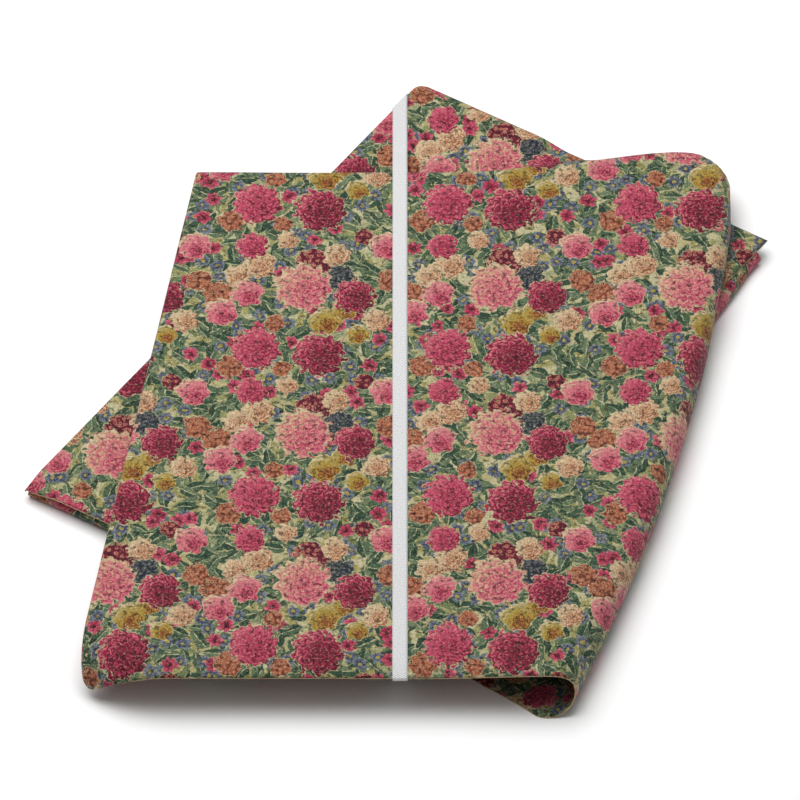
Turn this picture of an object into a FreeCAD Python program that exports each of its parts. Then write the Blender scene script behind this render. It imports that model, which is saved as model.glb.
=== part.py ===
import FreeCAD, Part
import math
import os
from FreeCAD import Vector

# Two flat bolts of one printed cotton, stacked crosswise and tied with a cotton tape. Millimetres.
# +X is to the right, +Y to the back and +Z up. Each bolt is a stiff board with cloth wound round it.
# The turns wound tight on the board are one solid. The loose outer turn is made of its plies and its
# folds, because it stands off the turns inside it. Everything is moved at the end so that the origin
# is at the middle of the object's bounding box in plan and at its lowest face.

PLY = 1.2  # the cloth lies double, so one turn is two thicknesses
BOARD = 4.0

LOW_LENGTH = 610.0  # along the folds
LOW_WIDTH = 360.0  # across the folds
LOW_HEIGHT = 15.0
LOW_TURN = 56.5  # degrees from +X to the direction of its folds
LOW_CENTRE = Vector(-3.3, 40.2, 0)
LOW_END_GAP = 16.0  # the outer turn past the inner turns, at each end
LOW_SIDE_GAP = 18.0  # the outer turn past the inner turns, at each fold
LOW_INNER_ROUND = 0.45  # roundness of the inner turns' sides, as a share of their height
BOARD_SHORT = 6.0  # the board stops this far inside the inner turns, at each end
BOARD_NARROW = 10.0  # and this far inside their sides

UP_TOP = 38.0
UP_BACK = 257.0
UP_FRONT = -388.0
UP_BACK_GAP = 12.0  # the outer turn past the inner turns, at the back
UP_FRONT_GAP = 38.0  # the same at the front, where the outer turn's lip hangs over
LEFT_AT_BACK = -172.0
LEFT_AT_FRONT = -274.0
LEFT_REACH = 11.5  # how far the left fold stands out from where it starts
RIGHT_REACH = 20.0
RIGHT_BACK = Vector(283, 195, 0)  # three points on the bowed line of the right fold
RIGHT_MIDDLE = Vector(242, -50, 0)
RIGHT_FRONT = Vector(141, -388, 0)
BACK_CORNER_RADIUS = 47.0
BACK_CORNER_START = 0.8  # the corner starts this share of its radius in front of the back
INNER_LEFT_GAP = 14.0
INNER_RIGHT_GAP = 46.0
INNER_ROUND = 8.0
INNER_STATIONS = [-210, -50, 90]  # where the inner turns' right side takes the fold's bow
FOLD_DOWN_AT = 60.0  # in front of this the right fold reaches down to the table
FOLD_UP_AT = 100.0  # behind this it lies on the lower bolt
FOLD_STEPS = 10  # flats round a fold

FLAP_LEAVES_BEFORE = 6.0  # the under ply's free side starts this far in front of the held fold
FLAP_EDGE_CLEAR = 3.0  # the under ply leaves the lower bolt this far past its side
FLAP_RUN = 11.0  # and comes down to the table over this distance
FLAP_FRONT = -262.0  # where the ramp ends
FLAP_TIP_BACK = -305.0  # where the slanted front edge on the table meets it

TAPE_WIDTH = 12.7
TAPE = 0.6
TAPE_LAP = 30.0
STITCH_LENGTH = 1.1
STITCH_PITCH = 1.6
STITCHES = 7
THREAD = 0.4
STITCH_INSET = 4.0  # from the lap's ends
LAP_LOW = 0.8  # the lapped end's two faces, in tape thicknesses off the loop's inner face
LAP_HIGH = 1.9
TAPE_PAST_BACK = 3.0  # the tape leaves the upper bolt this far past its back edge
TAPE_COMES_DOWN = 34.0  # and comes down to the lower bolt over this distance
TAPE_SETTLES = 60.0
EDGE_BEVEL = Vector(0, 1.5, 2.2)  # the tape's bevel where it goes round the lower bolt
BEVEL_IN = 0.8  # how much of its thickness each bevel corner moves out, and up
BEVEL_UP = 0.6

GROOVE_CLEAR = 0.05
GROOVE_ENDS = 40.0  # the channel runs on this far past the lower bolt's sides
SLACK = 0.3  # the tape stands this far off an edge that it goes round

UP_BASE = LOW_HEIGHT
LOW_MIDDLE = LOW_HEIGHT / 2
LIP_BACK = UP_FRONT + UP_FRONT_GAP  # the tight turns and the folds end here, and the lip starts


def prism(points, low, high):
    """A flat plate on a plan outline of (x, y) points."""
    wire = Part.makePolygon([Vector(x, y, low) for x, y in points + points[:1]])
    return Part.Face(wire).extrude(Vector(0, 0, high - low))


def along_lower(shape):
    """Turns a shape made along X about the origin to where the lower bolt lies."""
    shape.rotate(Vector(0, 0, 0), Vector(0, 0, 1), LOW_TURN)
    shape.translate(LOW_CENTRE)
    return shape


def box_about(length, width, low, high):
    return Part.makeBox(length, width, high - low, Vector(-length / 2, -width / 2, low))


# ---- lower bolt, made along X and then turned ----

INNER_LENGTH = LOW_LENGTH - 2 * LOW_END_GAP
INNER_WIDTH = LOW_WIDTH - 2 * LOW_SIDE_GAP


def lower_core_board():
    half = BOARD / 2
    length = INNER_LENGTH - 2 * BOARD_SHORT
    width = INNER_WIDTH - 2 * BOARD_NARROW
    return along_lower(box_about(length, width, LOW_MIDDLE - half, LOW_MIDDLE + half))


def lower_inner_wrap():
    """The turns wound tight on the board: a flat tube, open at its two ends."""
    low, high = PLY, LOW_HEIGHT - PLY
    slab = box_about(INNER_LENGTH, INNER_WIDTH, low, high)
    long_edges = [e for e in slab.Edges if abs(e.BoundBox.XLength - INNER_LENGTH) < 1e-3]
    slab = slab.makeFillet((high - low) * LOW_INNER_ROUND, long_edges)
    half = BOARD / 2
    room = box_about(LOW_LENGTH, INNER_WIDTH - 2 * BOARD_NARROW, LOW_MIDDLE - half, LOW_MIDDLE + half)
    return along_lower(slab.cut(room))


def lower_ply(low):
    return along_lower(box_about(LOW_LENGTH, LOW_WIDTH - LOW_HEIGHT, low, low + PLY))


def lower_fold(side):
    """A half tube that joins the two outer plies along one long side."""
    start = side * (LOW_WIDTH - LOW_HEIGHT) / 2

    def point(out, height):
        return Vector(-LOW_LENGTH / 2, start + side * out, height)

    outer, inner = LOW_MIDDLE, LOW_MIDDLE - PLY
    edges = [
        Part.Arc(point(0, LOW_HEIGHT), point(outer, LOW_MIDDLE), point(0, 0)).toShape(),
        Part.makeLine(point(0, 0), point(0, PLY)),
        Part.Arc(point(0, PLY), point(inner, LOW_MIDDLE), point(0, LOW_HEIGHT - PLY)).toShape(),
        Part.makeLine(point(0, LOW_HEIGHT - PLY), point(0, LOW_HEIGHT)),
    ]
    tube = Part.Face(Part.Wire(edges)).extrude(Vector(LOW_LENGTH, 0, 0))
    return along_lower(tube)


def lower_point(along, across):
    """A plan point of the lower bolt: along its folds to the back, and across them to the right."""
    turn = math.radians(LOW_TURN)
    lengthwise = Vector(math.cos(turn), math.sin(turn), 0)
    sideways = Vector(math.sin(turn), -math.cos(turn), 0)
    return LOW_CENTRE + lengthwise * along + sideways * across


def lower_right_x(y, out):
    """X at a given y on a line this far outside the lower bolt's right side."""
    start = lower_point(0, LOW_WIDTH / 2 + out)
    return start.x + (y - start.y) / math.tan(math.radians(LOW_TURN))


def lower_side_y(x, side):
    """Y at a given x on the lower bolt's right side (+1) or left side (-1)."""
    start = lower_point(0, side * LOW_WIDTH / 2)
    return start.y + (x - start.x) * math.tan(math.radians(LOW_TURN))


# ---- upper bolt ----

RIGHT_LINE = Part.Arc(RIGHT_BACK, RIGHT_MIDDLE, RIGHT_FRONT)


def left_x(y):
    share = (UP_BACK - y) / (UP_BACK - UP_FRONT)
    return LEFT_AT_BACK + share * (LEFT_AT_FRONT - LEFT_AT_BACK)


def right_x(y):
    """The outermost x of the right fold: the bowed line, then the round back corner."""
    if y <= RIGHT_BACK.y:
        level = Part.LineSegment(Vector(-500, y, 0), Vector(500, y, 0))
        hits = RIGHT_LINE.toShape().distToShape(level.toShape())[1]
        return hits[0][0].x
    rise = max(0.0, y - (UP_BACK - BACK_CORNER_RADIUS * BACK_CORNER_START))
    return RIGHT_BACK.x - BACK_CORNER_RADIUS + math.sqrt(BACK_CORNER_RADIUS**2 - rise**2)


FREE_STATIONS = [UP_FRONT, -300, -210, -120, -30, FOLD_DOWN_AT]
HELD_STATIONS = [FOLD_UP_AT, 150, RIGHT_BACK.y, 225, UP_BACK - 12, UP_BACK]


def fold_base(y):
    return 0.0 if y <= FOLD_DOWN_AT else UP_BASE


def fold_section(y, start, reach, low):
    """The closed outline of a fold's wall in the plane y, from where it starts at the top to the bottom."""
    middle, half = (low + UP_TOP) / 2, (UP_TOP - low) / 2
    wide = abs(reach)
    side = math.copysign(1, reach)
    points = []
    for inset, steps in ((0, range(FOLD_STEPS + 1)), (PLY, range(FOLD_STEPS, -1, -1))):
        for step in steps:
            angle = math.pi / 2 - math.pi * step / FOLD_STEPS
            out = (wide - inset) * math.cos(angle)
            points.append(Vector(start + side * out, y, middle + (half - inset) * math.sin(angle)))
    return Part.makePolygon(points + points[:1])


def upper_right_fold():
    sections = []
    for y in FREE_STATIONS + HELD_STATIONS:
        sections.append(fold_section(y, right_x(y) - RIGHT_REACH, RIGHT_REACH, fold_base(y)))
    return Part.makeLoft(sections, True, True)


def upper_left_fold():
    sections = []
    for y in (LIP_BACK, UP_BACK):
        sections.append(fold_section(y, left_x(y) + LEFT_REACH, -LEFT_REACH, UP_BASE))
    return Part.makeLoft(sections, True, True)


def right_starts(stations):
    return [(right_x(y) - RIGHT_REACH, y) for y in stations]


def upper_top_ply():
    """The top of the outer turn, with the lip that hangs over past the board at the front."""
    left = [(left_x(y) + LEFT_REACH, y) for y in (UP_BACK, LIP_BACK)]
    lip = [(left_x(y), y) for y in (LIP_BACK, UP_FRONT)]
    return prism(left + lip + right_starts(FREE_STATIONS + HELD_STATIONS), UP_TOP - PLY, UP_TOP)


def upper_under_ply():
    """The bottom of the outer turn where it lies on the lower bolt."""
    left = [(left_x(y) + LEFT_REACH, y) for y in (UP_BACK, LIP_BACK)]
    corner = lower_point(-LOW_LENGTH / 2, LOW_WIDTH / 2 + FLAP_EDGE_CLEAR)
    last = FOLD_UP_AT - FLAP_LEAVES_BEFORE
    leaving = [(corner.x, LIP_BACK), (corner.x, corner.y), (lower_right_x(last, FLAP_EDGE_CLEAR), last)]
    return prism(left + leaving + right_starts(HELD_STATIONS), UP_BASE, UP_BASE + PLY)


def upper_under_flap():
    """The bottom of the outer turn past the lower bolt: a ramp down to the table, then flat on it."""
    out = FLAP_EDGE_CLEAR + FLAP_RUN

    def ramp_end(y):
        near, far = lower_right_x(y, FLAP_EDGE_CLEAR), lower_right_x(y, out)
        corners = [(near, UP_BASE), (near, UP_BASE + PLY), (far, PLY), (far, 0)]
        points = [Vector(x, y, z) for x, z in corners]
        return Part.makePolygon(points + points[:1])

    ramp = Part.makeLoft([ramp_end(FLAP_FRONT), ramp_end(FOLD_DOWN_AT)], True, True)
    foot_x = lower_right_x(FLAP_FRONT, out)
    outline = [(lower_right_x(FOLD_DOWN_AT, out), FOLD_DOWN_AT), (foot_x, FLAP_FRONT)]
    outline.append((foot_x, FLAP_TIP_BACK))
    return ramp.fuse(prism(outline + right_starts(FREE_STATIONS), 0, PLY)).removeSplitter()


def inner_outline(trim_end, trim_side):
    """The plan of the tight turns, trimmed at its ends and sides for the board that they hold."""
    front = LIP_BACK + trim_end
    back = UP_BACK - UP_BACK_GAP - trim_end
    left = [(left_x(y) + INNER_LEFT_GAP + trim_side, y) for y in (back, front)]
    right = [(right_x(y) - INNER_RIGHT_GAP - trim_side, y) for y in [front] + INNER_STATIONS]
    right.append((RIGHT_BACK.x - INNER_RIGHT_GAP - trim_side, back))
    return left + right


def upper_core_board():
    middle = (UP_BASE + UP_TOP) / 2
    outline = inner_outline(BOARD_SHORT, BOARD_NARROW)
    return prism(outline, middle - BOARD / 2, middle + BOARD / 2)


def board_end_room(corners, reach):
    """The gap past one end of the upper board, between the turns."""
    (first_x, y), (second_x, _) = corners
    middle = (UP_BASE + UP_TOP) / 2
    outline = [(first_x, y), (second_x, y), (second_x, y + reach), (first_x, y + reach)]
    return prism(outline, middle - BOARD / 2, middle + BOARD / 2)


def upper_inner_wrap():
    """The turns wound tight on the upper board, open at the front and the back."""
    low, high = UP_BASE + PLY, UP_TOP - PLY
    slab = prism(inner_outline(0, 0), low, high)
    sides = [e for e in slab.Edges if e.BoundBox.ZLength < 1e-6 and e.BoundBox.YLength > 1]
    slab = slab.makeFillet(INNER_ROUND, sides)
    board = upper_core_board()
    outline = inner_outline(BOARD_SHORT, BOARD_NARROW)
    slab = slab.cut(board_end_room([outline[1], outline[2]], -2 * BOARD_SHORT))
    return slab.cut(board_end_room([outline[0], outline[-1]], 2 * BOARD_SHORT)).cut(board)


# ---- tie tape ----

LAP_FROM = Vector(0, LIP_BACK - 1.5, UP_BASE - 0.7)  # the tape passes under the tight turns here
LAP_TO = Vector(0, UP_FRONT - SLACK, UP_TOP - PLY)


def tape_loop(x, grow):
    """The tape's closed line at one of its edges, on the cloth or grown outwards by a thickness."""
    back, front = lower_side_y(x, -1), lower_side_y(x, 1)
    over = UP_BACK + TAPE_PAST_BACK
    out, up = grow * BEVEL_IN, grow * BEVEL_UP
    points = [
        (UP_FRONT - SLACK - grow, UP_TOP + grow),
        (over + grow, UP_TOP + grow),
        (over + TAPE_COMES_DOWN + grow, LOW_HEIGHT + EDGE_BEVEL.z + grow),
        (over + TAPE_SETTLES, LOW_HEIGHT + grow),
        (back - LOW_MIDDLE, LOW_HEIGHT + grow),
        (back - EDGE_BEVEL.y + out, LOW_HEIGHT - EDGE_BEVEL.z + up),
        (back + SLACK + grow, LOW_MIDDLE),
        (back - EDGE_BEVEL.y + out, EDGE_BEVEL.z - up),
        (back - LOW_MIDDLE, TAPE - grow),
        (front + LOW_MIDDLE, TAPE - grow),
        (front + EDGE_BEVEL.y - out, EDGE_BEVEL.z - up),
        (LAP_FROM.y - out / 2, LAP_FROM.z - grow),
        (LAP_TO.y - grow, LAP_TO.z - grow / 2),
    ]
    loop = [Vector(x, y, z) for y, z in points]
    return Part.makePolygon(loop + loop[:1])


def along_lap(length, width, low, high, along, across):
    """A box on the stretch of tape under the front lip: low and high are heights off its outer face."""
    run = LAP_TO - LAP_FROM
    slope = math.degrees(math.atan2(run.z, run.y))
    middle = (LAP_FROM + LAP_TO) / 2
    shape = Part.makeBox(width, length, high - low, Vector(across - width / 2, along - length / 2, low))
    shape.rotate(Vector(0, 0, 0), Vector(1, 0, 0), slope)
    shape.translate(middle)
    return shape


def tie_tape():
    """One loop round both bolts, its ends lapped under the front lip."""
    half = TAPE_WIDTH / 2
    outer = Part.makeLoft([tape_loop(-half, TAPE), tape_loop(half, TAPE)], True, True)
    inner = Part.makeLoft([tape_loop(-half, 0), tape_loop(half, 0)], True, True)
    lap = along_lap(TAPE_LAP, TAPE_WIDTH, TAPE * LAP_LOW, TAPE * LAP_HIGH, 0, 0)
    return outer.cut(inner).fuse(lap)


def tape_lap_stitches():
    """Two rows of thread across the lap, standing on its face."""
    stitches = []
    for row in (-1, 1):
        along = row * (TAPE_LAP / 2 - STITCH_INSET)
        for k in range(STITCHES):
            across = (k - (STITCHES - 1) / 2) * STITCH_PITCH
            low = TAPE * LAP_HIGH
            stitches.append(along_lap(THREAD, STITCH_LENGTH, low, low + THREAD, along, across))
    return Part.makeCompound(stitches)


def groove(shape):
    """Cuts the shallow channel that the tape presses into the cloth under the bundle."""
    back, front = lower_side_y(0, -1) + GROOVE_ENDS, lower_side_y(0, 1) - GROOVE_ENDS
    wide = TAPE_WIDTH + 2 * GROOVE_CLEAR
    channel = Part.makeBox(wide, back - front, TAPE + GROOVE_CLEAR, Vector(-wide / 2, front, 0))
    return shape.cut(channel)


nodes = {
    "lower_core_board": lower_core_board(),
    "lower_inner_wrap": lower_inner_wrap(),
    "lower_under_ply": groove(lower_ply(0)),
    "lower_top_ply": lower_ply(LOW_HEIGHT - PLY),
    "lower_left_fold": groove(lower_fold(1)),
    "lower_right_fold": groove(lower_fold(-1)),
    "upper_core_board": upper_core_board(),
    "upper_inner_wrap": upper_inner_wrap(),
    "upper_top_ply": upper_top_ply(),
    "upper_under_ply": upper_under_ply(),
    "upper_under_flap": upper_under_flap(),
    "upper_left_fold": upper_left_fold(),
    "upper_right_fold": upper_right_fold(),
    "tie_tape": tie_tape(),
    "tape_lap_stitches": tape_lap_stitches(),
}

os.makedirs("parts", exist_ok=True)
whole = Part.makeCompound(list(nodes.values())).BoundBox
shift = Vector(-whole.Center.x, -whole.Center.y, -whole.ZMin)
print("shift", shift, "size", whole.XLength, whole.YLength, whole.ZLength)
for name, shape in nodes.items():
    shape.translate(shift)
    shape.exportStep(f"parts/{name}.step")
    print(name, shape.isValid(), len(shape.Solids), round(shape.Volume / 1000, 2), "cm3")
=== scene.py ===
import math

import bpy
import numpy as np
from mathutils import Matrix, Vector


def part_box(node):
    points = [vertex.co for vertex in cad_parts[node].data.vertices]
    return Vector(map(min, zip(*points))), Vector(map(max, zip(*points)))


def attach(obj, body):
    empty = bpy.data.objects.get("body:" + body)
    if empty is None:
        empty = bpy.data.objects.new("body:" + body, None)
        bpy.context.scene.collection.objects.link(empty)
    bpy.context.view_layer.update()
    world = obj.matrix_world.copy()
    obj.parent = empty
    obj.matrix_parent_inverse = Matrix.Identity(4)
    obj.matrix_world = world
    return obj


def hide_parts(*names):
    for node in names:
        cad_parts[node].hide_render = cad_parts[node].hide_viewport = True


# Two flat bolts of printed cotton, stacked crosswise and tied with a cotton tape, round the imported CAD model.
# Metres. Each cloth is one flat cut sheet folded over lines, and its UV map is its own flat cut, so the print
# lies on it as on the real length.

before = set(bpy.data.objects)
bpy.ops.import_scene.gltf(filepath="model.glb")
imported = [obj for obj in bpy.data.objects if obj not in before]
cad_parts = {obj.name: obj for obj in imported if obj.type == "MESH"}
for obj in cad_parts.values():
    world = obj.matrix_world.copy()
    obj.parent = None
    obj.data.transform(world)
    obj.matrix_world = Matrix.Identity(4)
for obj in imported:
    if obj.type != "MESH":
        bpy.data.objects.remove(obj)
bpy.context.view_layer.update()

MM = 0.001
CLOTH = 1.1 * MM  # the cloth lies double
GRID = 5 * MM

LOW_LENGTH = 0.610
LOW_WIDTH = 0.360
LOW_HEM = 62 * MM  # the end that lies inside, under the top ply's edge
LOW_FLARE = 2.8 * MM  # the left side runs this much off square at each end
LOW_LEFT_SAG = 4 * MM  # the top ply's left end corner lies this much lower
LOW_TURN = math.radians(56.5)
LOW_CORNER = 9 * MM  # roundness of the back corner in plan
ALONG = np.array([math.cos(LOW_TURN), math.sin(LOW_TURN)])
ACROSS = np.array([-math.sin(LOW_TURN), math.cos(LOW_TURN)])
LOW_END_GAP = 16 * MM
LOW_END_SHORT = 3 * MM  # the cloth's front left end stops this far inside the model's
UNDER_BACK = (14 * MM, 16 * MM)  # the under ply stops this far behind the top ply at the two ends
BACK_OUT = 4.5 * MM  # its back end stands this far proud, over the half that shows
RIGHT_OUT = (5 * MM, 14 * MM)  # how far the right fold stands past the top ply's edge: at its end, further in
RIGHT_OUT_OVER = 86 * MM  # the distance between those two places
LOW_SIDE_GAP = 18 * MM

# The upper bolt's outline, in metres from the design's own centre; CENTRE puts it in the frame.
CENTRE = np.array([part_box("upper_top_ply")[0].x + 0.274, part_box("upper_top_ply")[0].y + 0.388])
LEFT_AT_BACK = CENTRE[0] - 0.172
LEFT_AT_FRONT = CENTRE[0] - 0.274
LEFT_CREASE = 1.7 * MM
LEFT_HEM = 62 * MM
HEM_SLANT = 0.33  # the hem's front edge is cut back by this share of its width, so it stays under the top
RIGHT_BACK = CENTRE + (0.283, 0.195)  # three points on the bowed outer edge of the upper bolt's right fold
RIGHT_MIDDLE = CENTRE + (0.242, -0.050)
RIGHT_FRONT = CENTRE + (0.141, -0.388)
BACK_CORNER = 47 * MM
BACK_SKEW = 26 * MM  # the back edge is cut this much further out at the right, where the cloth turns over it
FAR_CREASES = (10 * MM, 8 * MM, LEFT_CREASE, LEFT_CREASE)  # radii of the creases along the back and the left
FAR_TURNS = (2.2, 1.6)  # how far the first two of them turn, in radians
RIGHT_UNDER = 0.240  # the cloth goes on this far past the start of the right fold
UNDER_CUT = 37 * MM  # its front edge is cut this much further out there
FOLD_DOWN_AT = CENTRE[1] + 0.050  # in front of this the right fold reaches down to the table
FOLD_UP_AT = CENTRE[1] + 0.110  # behind this it lies on the lower bolt
INNER_RIGHT_GAP = 26 * MM  # the turns inside stop this far short of where the right fold starts

LIP_BEND = 9.7  # curvature of the drooping front lip, 1/m
LIP_SHORT = 15 * MM  # the front edge stops this far behind the model's
TIP_LENGTH = 56 * MM  # the limp front left corner, along its diagonal
TIP_BEND = 23.0
TIP_ROUND = 15 * MM

UPPER_WAVES = (3, (0.31, 0.17, 0.09), 0.5 * MM)  # seed, sizes and height of each top's unevenness
LOWER_WAVES = (5, (0.27, 0.13), 0.4 * MM)

TAPE_WIDTH = 12.7 * MM
TAPE = 0.6 * MM
TAPE_LAP = 30 * MM
THREAD = 0.22 * MM  # its radius
STITCHES = 7  # in each of the two rows
STITCH_PITCH = 1.6 * MM

AROUND = 40  # points in one turn of the cloth wound on a board
FLAT_SHARE = 0.34  # the share of those points on each flat run
SIDE_SHARE = 0.16  # and round each side

# Where the CAD model puts things.
low_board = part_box("lower_core_board")
up_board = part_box("upper_core_board")
LOW_CENTRE = np.array([(low_board[0].x + low_board[1].x) / 2, (low_board[0].y + low_board[1].y) / 2])
LOW_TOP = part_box("lower_top_ply")[1].z - CLOTH / 2
TABLE = CLOTH / 2
UP_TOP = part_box("upper_top_ply")[1].z - CLOTH / 2
UP_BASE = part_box("upper_under_ply")[0].z + CLOTH / 2
UP_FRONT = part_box("upper_top_ply")[0].y
UP_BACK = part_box("upper_top_ply")[1].y
LIP_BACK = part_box("upper_inner_wrap")[0].y
LIP_FRONT = UP_FRONT + LIP_SHORT
WOUND_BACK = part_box("upper_inner_wrap")[1].y


# ---------- geometry helpers ----------

def new_mesh(name, points, faces, uvs):
    mesh = bpy.data.meshes.new(name)
    mesh.from_pydata([tuple(p) for p in points], [], [tuple(f) for f in faces])
    mesh.update()
    layer = mesh.uv_layers.new(name="flat_cut")
    corner = np.empty(len(mesh.loops), dtype=np.int32)
    mesh.loops.foreach_get("vertex_index", corner)
    layer.data.foreach_set("uv", np.asarray(uvs, dtype=np.float32)[corner].ravel())
    mesh.polygons.foreach_set("use_smooth", [True] * len(mesh.polygons))
    piece = bpy.data.objects.new(name, mesh)
    bpy.context.scene.collection.objects.link(piece)
    return piece


def grid_faces(rows, columns):
    faces = []
    for r in range(rows - 1):
        for c in range(columns - 1):
            k = r * columns + c
            faces.append((k, k + 1, k + columns + 1, k + columns))
    return faces


def flat_area(flat, rows, columns):
    """The area of a sheet's cut, from its grid of flat points."""
    grid = flat.reshape(rows, columns, 2)
    one = grid[1:, 1:] - grid[:-1, :-1]
    two = grid[1:, :-1] - grid[:-1, 1:]
    return float(np.abs(one[..., 0] * two[..., 1] - one[..., 1] * two[..., 0]).sum() / 2)


def arc_through(a, b, c, steps):
    """Points on the circle through three points, evenly spaced from a to c."""
    (ax, ay), (bx, by), (cx, cy) = a, b, c
    d = 2 * (ax * (by - cy) + bx * (cy - ay) + cx * (ay - by))
    sa, sb, sc = ax * ax + ay * ay, bx * bx + by * by, cx * cx + cy * cy
    ox = (sa * (by - cy) + sb * (cy - ay) + sc * (ay - by)) / d
    oy = (sa * (cx - bx) + sb * (ax - cx) + sc * (bx - ax)) / d
    radius = math.hypot(ax - ox, ay - oy)
    angles = np.linspace(math.atan2(ay - oy, ax - ox), math.atan2(cy - oy, cx - ox), steps)
    return np.stack([ox + radius * np.cos(angles), oy + radius * np.sin(angles)], 1)


def rounded(corners, radii, step):
    """A line through corners, each rounded by its radius, as points about a step apart."""
    corners = [np.array(c, dtype=float) for c in corners]
    points = [corners[0]]
    for a, b, c, radius in zip(corners, corners[1:], corners[2:], radii):
        before, after = (a - b) / np.linalg.norm(a - b), (c - b) / np.linalg.norm(c - b)
        opening = math.acos(float(np.clip(before @ after, -1, 1)))
        middle = (before + after) / np.linalg.norm(before + after)
        centre = b + middle * radius / math.sin(opening / 2)
        reach = radius / math.tan(opening / 2)
        start, end = b + before * reach, b + after * reach
        steps = max(3, int((math.pi - opening) / 0.35))
        for share in np.linspace(0, 1, steps + 1):
            ray = (start - centre) * (1 - share) + (end - centre) * share
            points.append(centre + ray / np.linalg.norm(ray) * radius)
    points.append(corners[-1])
    line = [points[0]]
    for a, b in zip(points, points[1:]):
        parts = max(1, round(float(np.linalg.norm(b - a)) / step))
        line += [a + (b - a) * k / parts for k in range(1, parts + 1)]
    line = np.array(line)
    run = np.concatenate([[0], np.cumsum(np.linalg.norm(np.diff(line, axis=0), axis=1))])
    return line, run


def nearest_on(line, points):
    """For each point, the nearest point on a polyline, how far away it is, and its place in segments."""
    best = np.full(len(points), 1e9)
    spot = np.zeros_like(points)
    where = np.zeros(len(points))
    for k in range(len(line) - 1):
        a, b = line[k], line[k + 1]
        share = np.clip(((points - a) @ (b - a)) / ((b - a) @ (b - a)), 0, 1)
        here = a + share[:, None] * (b - a)
        gap = np.linalg.norm(points - here, axis=1)
        closer = gap < best
        best[closer] = gap[closer]
        spot[closer] = here[closer]
        where[closer] = k + share[closer]
    return spot, best, where


def inside(outline, points):
    """True for the points inside a closed outline."""
    hit = np.zeros(len(points), dtype=bool)
    x, y = points[:, 0], points[:, 1]
    for (ax, ay), (bx, by) in zip(outline, np.roll(outline, -1, axis=0)):
        if ay == by:
            continue
        crosses = (ay > y) != (by > y)
        hit ^= crosses & (x < ax + (y - ay) * (bx - ax) / (by - ay))
    return hit


def smooth(share):
    share = np.clip(share, 0, 1)
    return share * share * (3 - 2 * share)


def waves(points, seed, sizes, height):
    """A gentle unevenness: a sum of waves of about these sizes, up to about this height."""
    draw = np.random.default_rng(seed)
    total = np.zeros(len(points))
    for size in sizes:
        for _ in range(3):
            angle, phase = draw.uniform(0, math.tau, 2)
            ahead = points @ np.array([math.cos(angle), math.sin(angle)])
            total += np.sin(ahead * math.tau / size + phase) * size
    return height * total / (2 * sum(sizes))


def roll_over(flat, line, radius, limit, top, outline):
    """Rolls the part of a flat sheet that lies past a line over it. radius and limit give the roll's radius
    and the angle after which it runs straight, at each point of the line."""
    spot, gap, where = nearest_on(line, flat)
    past = ~inside(outline, flat)
    away = np.where(past, gap, 0.0)
    k = np.arange(len(line))
    r, most = np.interp(where, k, radius), np.interp(where, k, limit)
    turn = np.minimum(away / r, most)
    rest = away - turn * r
    out = r * np.sin(turn) + rest * np.cos(turn)
    drop = r * (1 - np.cos(turn)) + rest * np.sin(turn)
    normal = (flat - spot) / np.maximum(gap, 1e-9)[:, None]
    plan = np.where(past[:, None], spot + normal * out[:, None], flat)
    return np.column_stack([plan, top - drop])


def bend_down(points, origin, ahead, bend, top):
    """Bends everything past a line in plan down about it; bend is the curvature at each point."""
    plan = points[:, :2] - origin
    along = plan @ ahead
    past = np.maximum(along, 0)
    depth = top - points[:, 2]
    angle = past * bend
    safe = np.maximum(bend, 1e-3)
    run = np.where(bend > 1e-3, np.sin(angle) / safe, past)
    drop = np.where(bend > 1e-3, (1 - np.cos(angle)) / safe, 0)
    moved = points.copy()
    moved[:, :2] += np.outer(run - past - depth * np.sin(angle), ahead)
    moved[:, 2] = top - drop - depth * np.cos(angle)
    return moved


def thicken(piece, thick=CLOTH):
    solid = piece.modifiers.new("thickness", "SOLIDIFY")
    solid.thickness = thick
    solid.offset = 0
    solid.material_offset_rim = 1


# ---------- the upper bolt's outer cloth ----------

def left_x(y):
    return LEFT_AT_BACK + (LEFT_AT_FRONT - LEFT_AT_BACK) * (UP_BACK - y) / (UP_BACK - UP_FRONT)


def fold_radius(y):
    """Half the height of the right fold: it stands on the table in front and on the lower bolt behind."""
    share = smooth((y - FOLD_DOWN_AT) / (FOLD_UP_AT - FOLD_DOWN_AT))
    return (UP_TOP - TABLE - (UP_BASE - TABLE) * share) / 2


def right_line():
    """Where the right fold starts, from the front to the back."""
    edge = arc_through(RIGHT_FRONT, RIGHT_MIDDLE, RIGHT_BACK, 60)
    return np.column_stack([edge[:, 0] - fold_radius(edge[:, 1]), edge[:, 1]])


def upper_line(right):
    """The line that the cloth rolls over, from the front right to the back and on to the front left."""
    ahead = right[0] + (right[0] - right[1]) / np.linalg.norm(right[0] - right[1]) * 0.08
    corner = BACK_CORNER - fold_radius(UP_BACK)
    centre = np.array([right[-1][0] - corner, UP_BACK - 12 * MM])
    turn = np.linspace(0.12, math.pi / 2, 10)
    bend = centre + corner * np.stack([np.cos(turn), np.sin(turn)], 1)
    far = np.array([[CENTRE[0] + 0.17, UP_BACK + 12 * MM], [CENTRE[0] + 0.06, UP_BACK + 8 * MM],
                    [LEFT_AT_BACK, UP_BACK + 6 * MM]])
    near = np.array([[left_x(UP_FRONT - 0.05), UP_FRONT - 0.05]])
    line = np.vstack([ahead[None], right, bend, far, near])
    radius = fold_radius(line[:, 1])
    radius[-4:] = FAR_CREASES
    limit = np.full(len(line), math.pi)
    limit[-4:-2] = FAR_TURNS
    return line, radius, limit


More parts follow.
